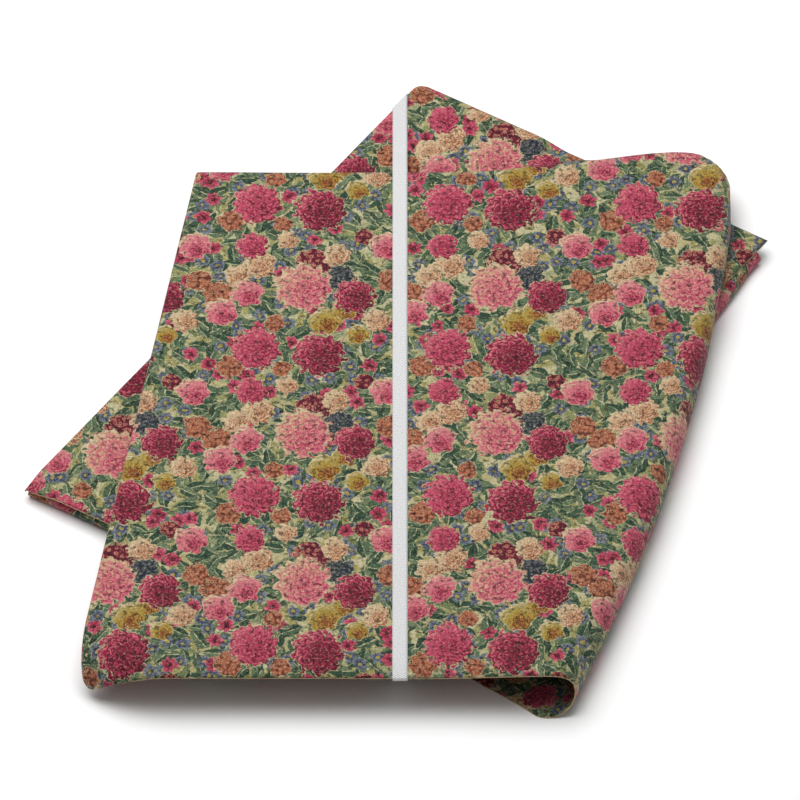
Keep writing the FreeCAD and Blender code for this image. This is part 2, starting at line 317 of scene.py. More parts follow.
def upper_flat(right):
    """The flat cut, on a grid whose columns follow the folds."""
    rows = int((UP_BACK + 20 * MM - UP_FRONT) / GRID) + 1
    hem = np.concatenate([np.linspace(-LEFT_HEM, -10 * MM, 10), np.arange(-9, 6, 1.5) * MM])
    past = np.arange(GRID, RIGHT_UNDER, GRID)
    flat = []
    for s in np.linspace(0, 1, rows):
        y = LIP_FRONT + s * (UP_BACK - LIP_FRONT)
        start, end = left_x(y), float(np.interp(y, right[:, 1], right[:, 0]))
        middle = np.linspace(start + 8 * MM, end, 84)
        x = np.concatenate([start + hem, middle, end + past])
        back = UP_BACK + BACK_SKEW * smooth((x - CENTRE[0] - 0.05) / 0.17)
        beyond = np.concatenate([np.zeros(len(hem) + len(middle)), past])
        front = LIP_FRONT - UNDER_CUT * smooth((beyond - 15 * MM) / (45 * MM))
        front += HEM_SLANT * np.maximum(start - x, 0)
        flat.append(np.column_stack([x, front + s * (back - front)]))
    flat = np.array(flat)
    return flat.reshape(-1, 2), flat.shape[0], flat.shape[1]


def over_lower(points):
    """The height of what the cloth lies on: the lower bolt, a ramp beside it, or the table."""
    share = 1.0
    for way, size in ((ACROSS, LOW_WIDTH), (ALONG, LOW_LENGTH)):
        inward = (points[:, :2] - LOW_CENTRE) @ way + size / 2
        share = share * smooth((inward + 13 * MM) / (11 * MM))
    return TABLE + (UP_BASE - TABLE) * share


def round_tip(points):
    """Rounds the front left corner in plan, where the folded edge is limp."""
    a = points[:, 0] - left_x(points[:, 1]) + LEFT_CREASE - TIP_ROUND
    b = points[:, 1] - LIP_FRONT - TIP_ROUND
    near = (a < 0) & (b < 0)
    square, circle = np.maximum(np.abs(a), np.abs(b)), np.hypot(a, b)
    shrink = np.where(near, square / np.maximum(circle, 1e-9), 1) - 1
    points[:, 0] += a * shrink
    points[:, 1] += b * shrink
    return points


def tip_bend(points):
    """The droop of the front left corner, which the turns under it share."""
    diagonal = np.array([-1, -1]) / math.sqrt(2)
    start = np.array([left_x(LIP_FRONT), LIP_FRONT]) - diagonal * TIP_LENGTH
    return bend_down(points, start, diagonal, np.full(len(points), TIP_BEND), UP_TOP)


def lip_bend(points):
    """The droop of the front lip, which the tape shares."""
    bend = LIP_BEND * (1 - smooth((points[:, 0] - CENTRE[0] - 0.02) / 0.10))
    return bend_down(points, np.array([0, LIP_BACK]), np.array([0, -1]), bend, UP_TOP)


def upper_cloth():
    right = right_line()
    line, radius, limit = upper_line(right)
    outline = np.vstack([line, [[line[0][0], UP_FRONT - 0.05]]])
    flat, rows, columns = upper_flat(right)
    points = roll_over(flat, line, radius, limit, UP_TOP, outline)
    points[:, 2] = np.maximum(points[:, 2], over_lower(points))
    on_top = 1 - smooth((UP_TOP - points[:, 2]) / (3 * MM))
    points = lip_bend(tip_bend(round_tip(points)))
    points[:, 2] += waves(flat, *UPPER_WAVES) * on_top
    points[:, 2] = np.maximum(points[:, 2], TABLE)
    piece = new_mesh("upper_cloth", points, grid_faces(rows, columns), flat)
    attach(piece, "root")
    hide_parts("upper_top_ply", "upper_right_fold", "upper_under_ply", "upper_under_flap",
                "upper_left_fold")
    tuple(np.ptp(flat, axis=0))
    flat_area(flat, rows, columns)
    thicken(piece)
    return piece


# ---------- the lower bolt's outer cloth ----------

def lower_place(u, v, z):
    """From the lower bolt's own length, width and height to the frame."""
    plan = LOW_CENTRE + np.outer(u, ALONG) + np.outer(v, ACROSS)
    return np.column_stack([plan, z])


def lower_cloth():
    """One length: from its cut end at the right over the top, round the left crease, under, and up again."""
    side, top, low = LOW_WIDTH / 2 - CLOTH / 2, LOW_TOP, TABLE
    inner = top - 1.7 * MM
    corners = [(-side, top), (side, top), (side - 4 * MM, low), (-side + 2 * MM, low),
               (-side + 2 * MM, inner), (-side + LOW_HEM, inner)]
    section, run = rounded(corners, (1.6 * MM, 3 * MM, 6 * MM, 6 * MM), GRID)
    half = LOW_LENGTH / 2
    rows, columns = int(LOW_LENGTH / GRID) + 1, len(section)
    start = LOW_END_SHORT - half
    even, close = np.linspace(start, half - 10 * MM, rows - 8), half - np.arange(9, 1, -1) * MM
    ahead = np.concatenate([even, close, [half]])
    rows = len(ahead)
    u, v = np.repeat(ahead, columns), np.tile(section[:, 0], rows)
    z, s = np.tile(section[:, 1], rows), np.tile(run, rows)
    flat = np.outer(u, ALONG) + np.outer(s - side, ACROSS) + LOW_CENTRE
    under = np.tile(smooth((run - 2 * side - 2 * MM) / (8 * MM)), rows)
    into = np.where(u < 0, *UNDER_BACK) * under * smooth((np.abs(u) - 0.2) / 0.1)
    inward = np.clip((half - UNDER_BACK[1] - u) / RIGHT_OUT_OVER, 0, 1)
    out = RIGHT_OUT[0] + (RIGHT_OUT[1] - RIGHT_OUT[0]) * inward
    hem = np.tile(run > run[-1] - 60 * MM, rows)
    rightward = np.where(hem, 1, np.clip((side - v) / (2 * side), 0, 1))
    v = v - out * under * rightward * smooth((u + 0.1) / 0.2)
    reach = np.clip(u - (half - LOW_CORNER), 0, LOW_CORNER)
    cut = LOW_CORNER - np.sqrt(LOW_CORNER ** 2 - reach ** 2)
    v = np.where(v > 0, v * (1 - cut / side + LOW_FLARE * u / half / side), v)
    near_left = smooth((v - 0.140) / (32 * MM)) * smooth((-u - half + 30 * MM) / (30 * MM))
    z = z - LOW_LEFT_SAG * near_left * (z > 0.7 * top)
    proud = BACK_OUT * smooth((v - 0.02) / 0.04) * smooth((u - 0.2) / 0.1)
    points = lower_place(u - np.sign(u) * into + proud, v, z)
    points[:, 2] += waves(flat, *LOWER_WAVES) * (z > 0.7 * top)
    over_tape = 1 - smooth((np.abs(points[:, 0] - CENTRE[0]) - TAPE_WIDTH / 2 - 2 * MM) / (5 * MM))
    points[:, 2] += (TAPE + 0.05 * MM) * over_tape * (z < TABLE + 0.5 * MM)
    piece = new_mesh("lower_cloth", points, grid_faces(rows, columns), flat)
    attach(piece, "root")
    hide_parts("lower_top_ply", "lower_under_ply", "lower_left_fold", "lower_right_fold")
    thicken(piece)
    return piece


def lower_end_tuck():
    """The cloth's end at the front left, turned up and tucked in under the top ply."""
    half = LOW_LENGTH / 2
    out, high = half - LOW_END_SHORT - 3 * MM, 11.2 * MM
    corners = [(-half + 20 * MM, TABLE), (-out, TABLE), (-out, high), (-half + 34 * MM, high)]
    section, run = rounded(corners, (5.2 * MM, 5.2 * MM), GRID)
    side = LOW_WIDTH / 2 - 5 * MM
    across = np.linspace(-side, side, int(2 * side / GRID) + 1)
    rows, columns = len(across), len(section)
    v, u, z = np.repeat(across, columns), np.tile(section[:, 0], rows), np.tile(section[:, 1], rows)
    closed = 1 - 0.35 * smooth((v - 0.130) / (35 * MM))
    z = TABLE + (z - TABLE) * closed
    flat = np.outer(np.tile(run, rows) - half, ALONG) + np.outer(v, ACROSS) + (0.31, 0.07)
    points = lower_place(u, v, z)
    piece = new_mesh("lower_end_tuck", points, grid_faces(rows, columns), flat)
    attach(piece, "root")
    thicken(piece)
    return piece


# ---------- the turns wound on the boards ----------

def wound(name, node, place, ends, sides, middle, first, last, turns, seed):
    """A sheet wound round a board: a spiral of flat runs and round sides. ends are the two cut ends, sides
    gives the two sides at a place along, and place maps (along, across, height) to the frame."""
    steps = int(turns * AROUND)
    draw = np.random.default_rng(seed)
    soft = np.ones(9) / 4
    uneven = [np.convolve(draw.normal(0, 2.2 * MM, steps + 9), soft, "valid")[:steps + 1] for _ in ends]
    stations = np.linspace(0, 1, 28)
    rows = []
    for k in range(steps + 1):
        share = k / steps
        half = first + (last - first) * share
        part = (k / AROUND) % 1
        along = ends[0] + (ends[1] - ends[0]) * stations
        along = along + uneven[0][k] * (1 - stations) + uneven[1][k] * stations
        low, high = sides(along)
        low, high = low + last, high - last
        if part < FLAT_SHARE:
            across, height = low + (high - low) * part / FLAT_SHARE, half
        elif part < 0.5:
            turn = math.pi * (part - FLAT_SHARE) / SIDE_SHARE
            across, height = high + half * math.sin(turn), half * math.cos(turn)
        elif part < 0.5 + FLAT_SHARE:
            across, height = high + (low - high) * (part - 0.5) / FLAT_SHARE, -half
        else:
            turn = math.pi * (part - 0.5 - FLAT_SHARE) / SIDE_SHARE
            across, height = low - half * math.sin(turn), -half * math.cos(turn)
        rows.append(place(along, across, np.full(len(along), middle + height)))
    grid = np.array(rows)
    middle_line = grid[:, len(stations) // 2]
    run = np.concatenate([[0], np.cumsum(np.linalg.norm(np.diff(middle_line, axis=0), axis=1))])
    length = abs(ends[1] - ends[0])
    flat = np.stack(np.broadcast_arrays(run[:, None], (stations * length)[None, :]), -1).reshape(-1, 2)
    piece = new_mesh(name, grid.reshape(-1, 3), grid_faces(steps + 1, len(stations)), flat)
    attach(piece, "root")
    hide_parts(node)
    thicken(piece, 1.0 * MM)
    return piece


def lower_turns():
    side = LOW_WIDTH / 2 - LOW_SIDE_GAP
    end = LOW_LENGTH / 2 - LOW_END_GAP
    middle = (low_board[0].z + low_board[1].z) / 2
    first = (low_board[1].z - low_board[0].z) / 2 + 0.7 * MM
    last = middle - 1.9 * MM

    def sides(along):
        return np.full(len(along), -side), np.full(len(along), side)

    ends = (-end, end)
    return wound("lower_inner_turns", "lower_inner_wrap", lower_place, ends, sides, middle, first, last,
                 turns=2.5, seed=11)


def upper_turns():
    right = right_line()
    middle = (up_board[0].z + up_board[1].z) / 2
    first = (up_board[1].z - up_board[0].z) / 2 + 0.7 * MM
    last = min(middle - UP_BASE - 1.2 * MM, UP_TOP - 4.6 * MM - middle)

    def sides(along):
        return left_x(along) + 3 * MM, np.interp(along, right[:, 1], right[:, 0]) - INNER_RIGHT_GAP

    def place(y, x, z):
        return tip_bend(np.column_stack([x, y, z]))

    ends = (LIP_BACK, WOUND_BACK)
    return wound("upper_inner_turns", "upper_inner_wrap", place, ends, sides, middle, first, last,
                 turns=6.5, seed=12)


# ---------- the language of the materials ----------

def linear(red, green, blue):
    """A colour written from 0 to 255, as the linear values that a shader takes."""
    return tuple(((c / 255 + 0.055) / 1.055) ** 2.4 for c in (red, green, blue)) + (1.0,)


class Sum:
    """A number, point or colour in a node tree. Sums written with it make the nodes."""

    def __init__(self, tree, socket):
        self.tree = tree
        self.socket = socket

    def node(self, kind, inputs, out=0, **settings):
        made = self.tree.nodes.new(kind)
        for key, value in settings.items():
            setattr(made, key, value)
        for slot, value in inputs.items():
            if isinstance(value, Sum):
                self.tree.links.new(value.socket, made.inputs[slot])
            else:
                made.inputs[slot].default_value = value
        return Sum(self.tree, made.outputs[out])

    def math(self, operation, *others):
        values = dict(enumerate((self, *others)))
        return self.node("ShaderNodeMath", values, operation=operation)

    def point(self, operation, *others, out=0):
        values = dict(enumerate((self, *others)))
        return self.node("ShaderNodeVectorMath", values, out, operation=operation)

    def __add__(self, other):
        return self.math("ADD", other)

    def __sub__(self, other):
        return self.math("SUBTRACT", other)

    def __mul__(self, other):
        return self.math("MULTIPLY", other)

    def length(self):
        return self.point("LENGTH", out=1)

    def parts(self):
        made = self.node("ShaderNodeSeparateXYZ", {0: self}).socket.node
        return [Sum(self.tree, out) for out in made.outputs]

    def between(self, low, high):
        """0 at low and 1 at high, smoothly."""
        values = {0: self, 1: low, 2: high}
        return self.node("ShaderNodeMapRange", values, interpolation_type="SMOOTHSTEP")

    def mix(self, first, second):
        return self.node("ShaderNodeMix", {0: self, 6: first, 7: second}, 2, data_type="RGBA")

    def mix_points(self, first, second):
        return self.node("ShaderNodeMix", {0: self, 4: first, 5: second}, 1, data_type="VECTOR")

    def ramp(self, *stops):
        made = self.node("ShaderNodeValToRGB", {0: self})
        ramp = made.socket.node.color_ramp
        for place, colour in stops[2:]:
            ramp.elements.new(place)
        for element, (place, colour) in zip(ramp.elements, stops):
            element.position = place
            element.color = colour
        return made

    def noise(self, size, detail=2.0, out=0):
        """Noise whose features are about this size, in the point's own unit."""
        values = {"Vector": self, "Scale": 1 / size, "Detail": detail}
        return self.node("ShaderNodeTexNoise", values, out, noise_dimensions="2D")

    def cells(self, loose=1.0):
        """Scattered cells a unit apart: the distance to the centre, a random colour, and the centre."""
        values = {"Vector": self, "Scale": 1.0, "Randomness": loose}
        made = self.node("ShaderNodeTexVoronoi", values, voronoi_dimensions="2D").socket.node
        return [Sum(self.tree, out) for out in made.outputs[:3]]


# ---------- the floral print ----------

REPEAT = (163, 184)  # mm
STRETCH = 1.22  # the motifs are taller than wide
BLOOM = 1.01  # all the big motifs, against their listed radii

DEEP_GREEN = linear(29, 56, 41)
GREEN = linear(57, 85, 63)
SAGE = linear(104, 121, 85)
OLIVE = linear(145, 132, 66)
PALE = linear(175, 168, 131)
CRIMSON = linear(129, 17, 49)
WINE = linear(84, 12, 32)
ROSE = linear(175, 66, 91)
PINK = linear(190, 111, 116)
BLUSH = linear(185, 149, 116)
CREAM = linear(190, 172, 137)
OCHRE = linear(160, 128, 49)
BRONZE = linear(114, 74, 22)
RUST = linear(122, 40, 25)
BLUE = linear(60, 68, 94)
INK = linear(29, 32, 52)
MIST = linear(112, 120, 122)
TERRACOTTA = linear(155, 85, 58)
BROWN = linear(91, 46, 32)
PLUM = linear(67, 49, 66)

# Each motif: x and y in the repeat, radius (mm), turn (radians).
PEONIES = {
    "light": [(84, 108, 23, 0.4)],
    "crimson": [(98, 22, 21, 1.9), (128, 96, 17, 3.0)],
    "rose": [(44, 30, 20, 2.6), (40, 160, 13, 0.2)],
}
ROSES = {
    "pink": [(36, 100, 14, 0.0), (14, 76, 14, 0.7), (154, 160, 14, 5.6)],
    "ochre": [(102, 64, 14, 0.3), (119, 80, 11, 1.2), (130, 48, 10, 4.4)],
    "blush": [(46, 136, 13, 0.5), (28, 122, 11, 2.2), (112, 148, 11, 4.0), (146, 66, 11, 3.1),
              (70, 168, 9, 1.0)],
}
HEADS = {
    "crimson": [(92, 138, 16, 0.0), (136, 172, 9, 0.0)],
    "terracotta": [(12, 98, 14, 0.0), (60, 62, 9, 0.0), (158, 116, 12, 0.0), (22, 8, 12, 0.0),
                   (66, 4, 9, 0.0)],
    "plum": [(114, 120, 14, 0.0)],
}


def nearest(p, places):
    """The way from the nearest of some repeated motifs, in its own radii, with its turn in z, and how far."""
    best, best_far = None, None
    for x, y, radius, turn in places:
        wide, tall = 1 / (radius * BLOOM), 1 / (radius * BLOOM * STRETCH)
        high = (x + REPEAT[0] / 2, y + REPEAT[1] / 2, 1)
        low = (x - REPEAT[0] / 2, y - REPEAT[1] / 2, -1)
        moved = (-x * wide, -y * tall, turn / 1000)
        way = p.point("WRAP", high, low).point("MULTIPLY_ADD", (wide, tall, 0), moved)
        far = way.length()
        if best is None:
            best, best_far = way, far
        else:
            best = far.math("LESS_THAN", best_far).mix_points(best, way)
            best_far = far.math("MINIMUM", best_far)
    return best, best_far


def peony(p, rough, places, rings, petals, colours):
    """A full double bloom: rings of overlapping petals, dark under each tip and streaked along."""
    way, far = nearest(p, places)
    x, y, turn = way.parts()
    around = y.math("ARCTAN2", x) + turn * 1000
    r = far + (rough - 0.5) * 0.34
    ring = (r * rings).math("FLOOR")
    tips = (around * (petals / 2) + ring * 2.1 + rough * 2).math("SINE").math("ABSOLUTE").math("POWER", 0.6)
    layer = (r * rings - tips * 0.8).math("FRACT")
    streak = (around * (petals * 3.0) + rough * 9).math("SINE") * 0.07
    lit = (y - x) * 0.17 + far * 0.30 + (rough - 0.5) * 0.4
    colour = (layer.math("POWER", 1.2) * 0.62 + streak + lit + 0.02).ramp(*colours)
    edge = r - tips * 0.2 + (rough - 0.5) * 0.3
    mask = edge.between(0.87, 0.83)
    halo = edge.between(0.91, 0.87)
    return colour, mask, halo


def rose(p, rough, places, colours):
    """A cupped bloom: broad petals round a deep heart that looks down."""
    way, far = nearest(p, places)
    x, y, turn = way.parts()
    heart = way.point("ADD", (-0.06, 0.28, 0))
    hx, hy, _ = heart.parts()
    around = hy.math("ARCTAN2", hx) + turn * 1000
    r = heart.length() + (rough - 0.5) * 0.30
    ring = (r * 3.4).math("FLOOR")
    tips = (around * 2.0 + ring * 1.3 + rough * 2).math("SINE").math("ABSOLUTE")
    layer = (r.math("POWER", 0.8) * 3.8 - tips * 0.7).math("FRACT")
    colour = (r * 0.50 + layer * 0.42 + (y - x) * 0.16).ramp(*colours)
    edge = far + (rough - 0.5) * 0.45 - (around * 2.5).math("SINE").math("ABSOLUTE") * 0.16
    return colour, edge.between(0.87, 0.83), edge.between(0.91, 0.87)


def head(p, rough, places, size, colours):
    """A round head of small ringed florets."""
    way, far = nearest(p, places)
    gap = p.point("MULTIPLY", (1 / size, 1 / (size * STRETCH), 0)).cells(0.75)[0]
    x, y, _ = way.parts()
    colour = (gap * 1.25 + (x - y) * 0.12).ramp(*colours)
    edge = far + (rough - 0.5) * 0.55 + gap * 0.18
    return colour, edge.between(1.02, 0.96), edge.between(1.06, 1.00)


def scattered(p, size, moved, loose=0.9):
    """Scattered spots: the way from the nearest, turned its own way, how far, in units of size, and three
    random numbers."""
    there = p.point("MULTIPLY_ADD", (1 / size, 1 / (size * STRETCH), 0), (*moved, 0))
    gap, tint, centre = there.cells(loose)
    draws = tint.parts()
    way = there.point("SUBTRACT", centre)
    way = way.node("ShaderNodeVectorRotate", {0: way, 3: draws[0] * math.tau}, rotation_type="Z_AXIS")
    return way, gap, draws


def leaves(p, size, moved, slim, rough, colours):
    """Scattered pointed leaves with a rib and side veins, lit on one half."""
    way, gap, draws = scattered(p, size, moved)
    x, y, _ = way.parts()
    wide = (x * x) * (-slim * 1.9) + slim
    across = y.math("ABSOLUTE") + (rough - 0.5) * 0.10
    share = across.math("DIVIDE", wide)
    veins = ((x - across * 1.1) * 9).math("FRACT").math("PINGPONG", 0.5)
    rib = across.between(0.035, 0.012)
    light = veins.between(0.30, 0.46) * 0.42 + rib * 0.7 + y.between(-0.02, 0.03) * 0.34 + draws[1] * 0.20
    mask = share.between(1.0, 0.86) * x.math("ABSOLUTE").between(0.72, 0.70)
    return light.ramp(*colours), mask, draws


def small_flowers(p, size, moved, rough, petals, colours, heart):
    """Scattered flat flowers with a bright heart."""
    way, gap, draws = scattered(p, size, moved, 0.8)
    x, y, _ = way.parts()
    around = y.math("ARCTAN2", x)
    petal = (around * (petals / 2)).math("SINE").math("ABSOLUTE")
    r = gap + (rough - 0.5) * 0.16
    rim = petal * 0.16 + 0.30
    share = r.math("DIVIDE", rim)
    streak = (around * (petals * 2.5)).math("SINE") * 0.10
    colour = (share * 0.55 + petal * 0.30 + streak + draws[1] * 0.15).ramp(*colours)
    colour = r.between(0.13, 0.10).mix(colour, heart)
    return colour, share.between(1.0, 0.92), draws


def print_colour(tree, uv):
    """The printed floral: leaves and small flowers, and over them the repeated heads, roses and peonies."""
    p = uv.point("MULTIPLY", (1000, 1000, 0))
    bend = p.noise(9.0, 1.0, out=1).point("SUBTRACT", (0.5, 0.5, 0.5)).point("MULTIPLY", (4.0, 4.0, 0))
    soft = p.point("ADD", bend)
    rough = p.noise(6.0, 2.5)
    wash = p.noise(14.0, 3.0)
    colour = wash.ramp((0.3, SAGE), (0.42, PALE), (0.62, PALE), (0.75, OLIVE))

    def lay(under, layer, halo=None):
        if halo is not None:
            under = halo.mix(under, PALE)
        return layer[1].mix(under, layer[0])

    sage = leaves(soft, 25, (3.3, 1.7), 0.42, rough, [(0.0, SAGE), (0.35, PALE), (0.7, OLIVE), (1.0, PALE)])
    colour = lay(colour, sage)
    olive = leaves(soft, 21, (0.4, 6.1), 0.34, rough, [(0.0, GREEN), (0.3, SAGE), (0.6, OLIVE), (1.0, PALE)])
    colour = lay(colour, olive)
    dark = leaves(soft, 16, (7.9, 3.6), 0.36, rough,
                  [(0.0, DEEP_GREEN), (0.28, DEEP_GREEN), (0.5, GREEN), (0.8, SAGE), (1.0, PALE)])
    colour = lay(colour, dark)
    fresh = leaves(soft, 13, (1.2, 9.4), 0.34, rough,
                   [(0.0, DEEP_GREEN), (0.4, GREEN), (0.7, SAGE), (1.0, PALE)])
    share = fresh[1] * fresh[2][2].between(0.45, 0.46)
    colour = share.mix(colour, fresh[0])
    blues = small_flowers(soft, 15, (5.2, 2.8), rough, 5,
                          [(0.15, INK), (0.5, BLUE), (0.8, MIST), (1.0, BLUE)], OLIVE)
    share = blues[1] * blues[2][2].between(0.58, 0.59)
    colour = share.mix(colour, blues[0])
    pinks = small_flowers(soft, 17, (9.5, 0.6), rough, 6,
                          [(0.1, WINE), (0.4, CRIMSON), (0.75, ROSE), (1.0, PINK)], WINE)
    share = pinks[1] * pinks[2][2].between(0.72, 0.73)
    colour = share.mix(colour, pinks[0])

    crimson_head = [(0.0, OLIVE), (0.08, CRIMSON), (0.16, CRIMSON), (0.24, BLUSH), (0.33, CRIMSON),
                    (0.62, WINE), (0.8, WINE)]
    earth_head = [(0.0, BROWN), (0.12, BROWN), (0.24, BLUSH), (0.34, TERRACOTTA), (0.6, TERRACOTTA),
                  (0.8, BROWN)]
    plum_head = [(0.0, INK), (0.15, PLUM), (0.27, MIST), (0.36, PLUM), (0.55, DEEP_GREEN), (0.8, INK)]
    for name, size, colours in (("terracotta", 3.9, earth_head), ("plum", 3.4, plum_head),
                                ("crimson", 5.4, crimson_head)):
        part, mask, halo = head(soft, rough, HEADS[name], size, colours)
        colour = lay(colour, (part, mask), halo)
    blush = [(0.0, BRONZE), (0.22, TERRACOTTA), (0.45, BLUSH), (0.75, CREAM), (1.0, CREAM)]
    part, mask, halo = peony(soft, rough, ROSES["blush"], 3.2, 9, blush)
    colour = lay(colour, (part, mask), halo)
    ochre = [(0.0, RUST), (0.16, RUST), (0.26, BRONZE), (0.5, OCHRE), (0.8, OLIVE), (1.0, CREAM)]
    pink = [(0.0, WINE), (0.14, CRIMSON), (0.30, ROSE), (0.6, PINK), (0.85, PINK), (1.0, CREAM)]
    for name, colours in (("ochre", ochre), ("pink", pink)):
        part, mask, halo = rose(soft, rough, ROSES[name], colours)
        colour = lay(colour, (part, mask), halo)
    for name, rings, petals, colours in (
            ("rose", 3.0, 11, [(0.0, WINE), (0.2, CRIMSON), (0.5, ROSE), (0.8, ROSE), (1.0, PINK)]),
            ("crimson", 4.2, 9, [(0.0, WINE), (0.25, WINE), (0.5, CRIMSON), (0.8, ROSE), (1.0, PINK)]),
            ("light", 3.6, 10, [(0.0, CRIMSON), (0.2, ROSE), (0.5, PINK), (0.8, BLUSH), (1.0, CREAM)])):
        part, mask, halo = peony(soft, rough, PEONIES[name], rings, petals, colours)
        colour = lay(colour, (part, mask), halo)
    fine = p.noise(2.4, 4.0).between(0.30, 0.70)
    gaps = p.noise(4.5, 3.0).between(0.47, 0.31) * 0.62
    colour = (fine.between(0.80, 1.0) * 0.25).mix(colour, PALE)
    shade = fine * 0.26 + 0.85 - gaps
    return colour, shade, p


# ---------- the tape ----------

def tape_section():
    """The tape's middle line, in Y and Z, from its end under the lip, over both bolts and back to its lap."""
    lift = CLOTH / 2 + TAPE / 2
    aside = CENTRE[0] - LOW_CENTRE[0]
    flare = LOW_FLARE / (LOW_LENGTH / 2)
    back = (LOW_WIDTH / 2 + aside * (ALONG[1] + flare * ALONG[0])) / (ALONG[0] - flare * ALONG[1])
    front = (aside * ALONG[1] - LOW_WIDTH / 2) / ALONG[0]
    back, front = back + LOW_CENTRE[1], front + LOW_CENTRE[1]
    under = np.array([LIP_BACK - 1.5 * MM, UP_BASE - 1.5 * MM])
    tip = np.array([LIP_FRONT - 0.6 * MM, UP_TOP - 1.4 * MM])
    ahead = (tip - under) / np.linalg.norm(tip - under)
    lap = (under + tip) / 2
    corners = [lap - ahead * TAPE_LAP / 2, tip, (LIP_FRONT - 0.6 * MM, UP_TOP + lift),
               (UP_BACK + 3 * MM, UP_TOP + lift), (UP_BACK + 52 * MM, LOW_TOP + lift),
               (back + 0.5 * MM, LOW_TOP + lift), (back - 6.6 * MM, TAPE / 2), (front - 1.5 * MM, TAPE / 2),
               under, lap + ahead * TAPE_LAP / 2]
    radii = [r * MM for r in (0.5, 0.7, 12, 30, 1.2, 2.0, 5, 10)]
    line, run = rounded(corners, radii, 3 * MM)
    return line, run, lap, ahead


def sheared(x, line, run):
    """The tape's points at x across it: it follows the slanted edges of the lower bolt."""
    y, z = line[:, 0], line[:, 1]
    slope = -ACROSS[0] / ACROSS[1]
    over = smooth((y - UP_BACK - 55 * MM) / (30 * MM))
    below = smooth((y - LIP_BACK) / (60 * MM))
    top_side = run < run[np.argmax(y)]
    return y + x * slope * np.where(top_side, over, below), top_side


def tie_tape():
    line, run, lap, ahead = tape_section()
    across = np.linspace(-TAPE_WIDTH / 2, TAPE_WIDTH / 2, 7)
    end = smooth((run - run[-1] + TAPE_LAP + 3 * MM) / (3 * MM))
    points, flat = [], []
    for x in across:
        y, top_side = sheared(x, line, run)
        y, z = y - end * 0.65 * MM * ahead[1], line[:, 1] - end * 0.65 * MM * -ahead[0]
        plan = np.column_stack([np.full(len(y), CENTRE[0] + x), y])
        high = waves(plan, *UPPER_WAVES) * (y < UP_BACK)
        high += waves(plan, *LOWER_WAVES) * (y > UP_BACK + 50 * MM)
        points.append(np.column_stack([plan, z + high * (z > LOW_TOP) * top_side]))
        flat.append(np.column_stack([np.full(len(y), x), run]))
    points, flat = np.array(points).reshape(-1, 3), np.array(flat).reshape(-1, 2)
    piece = new_mesh("tie_tape_strap", lip_bend(points), grid_faces(len(across), len(run)), flat)
    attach(piece, "root")
    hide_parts("tie_tape")
    thicken(piece, TAPE)
    return piece


def lap_stitches():
    """Two rows of small thread arches through the lap."""
    line, run, lap, ahead = tape_section()
    down = np.array([ahead[1], -ahead[0]])
    reach, height = 0.6 * MM, 0.35 * MM
    rings, sides = 7, 8
    points, faces, flat = [], [], []
    for row in (-1, 1):
        for k in range(STITCHES):
            centre = lap + ahead * (row * (TAPE_LAP / 2 - 4 * MM)) + down * 0.95 * MM
            across = CENTRE[0] + (k - (STITCHES - 1) / 2) * STITCH_PITCH
            base = len(points)
            for i in range(rings):
                turn = math.pi * (i / (rings - 1) - 0.5)
                spot = centre + ahead * reach * math.sin(turn) + down * height * math.cos(turn)
                out = ahead * math.sin(turn) + down * math.cos(turn)
                for j in range(sides):
                    spin = math.tau * j / sides
                    y, z = spot + out * THREAD * math.cos(spin)
                    points.append((across + THREAD * math.sin(spin), y, z))
                    flat.append((i * 0.3 * MM, j * 0.2 * MM))
            for i in range(rings - 1):
                for j in range(sides):
                    a, b = base + i * sides + j, base + i * sides + (j + 1) % sides
                    faces.append((a, b, b + sides, a + sides))
            faces.append([base + j for j in reversed(range(sides))])
            faces.append([base + (rings - 1) * sides + j for j in range(sides)])
    piece = new_mesh("lap_stitches", lip_bend(np.array(points)), faces, flat)
    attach(piece, "root")
    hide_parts("tape_lap_stitches")
    return piece


# ---------- the other materials ----------

def new_material(name, rough):
    """A cloth-like material, its shader and the point on the flat cut, in metres."""
    material = bpy.data.materials.new(name)
    material.use_nodes = True
    tree = material.node_tree
    shader = tree.nodes["Principled BSDF"]
    shader.inputs["Roughness"].default_value = rough
    shader.inputs["Specular IOR Level"].default_value = 0.2
    uv = tree.nodes.new("ShaderNodeUVMap")
    uv.uv_map = "flat_cut"
    return material, shader, Sum(tree, uv.outputs[0])


def bump(shader, height, strength, distance):
    tree = height.tree
    made = tree.nodes.new("ShaderNodeBump")
    made.inputs["Strength"].default_value = strength
    made.inputs["Distance"].default_value = distance
    tree.links.new(height.socket, made.inputs["Height"])
    tree.links.new(made.outputs[0], shader.inputs["Normal"])


def weave(p, pitch):
    """A plain weave: threads both ways, over and under each other, and a share of how high they stand."""
    x, y, _ = p.point("MULTIPLY", (math.pi / pitch, math.pi / pitch, 0)).parts()
    warp = x.math("SINE").math("ABSOLUTE") * (y * 0.5).math("SINE").math("ABSOLUTE")
    weft = y.math("SINE").math("ABSOLUTE") * (x * 0.5).math("COSINE").math("ABSOLUTE")
    return warp.math("MAXIMUM", weft)


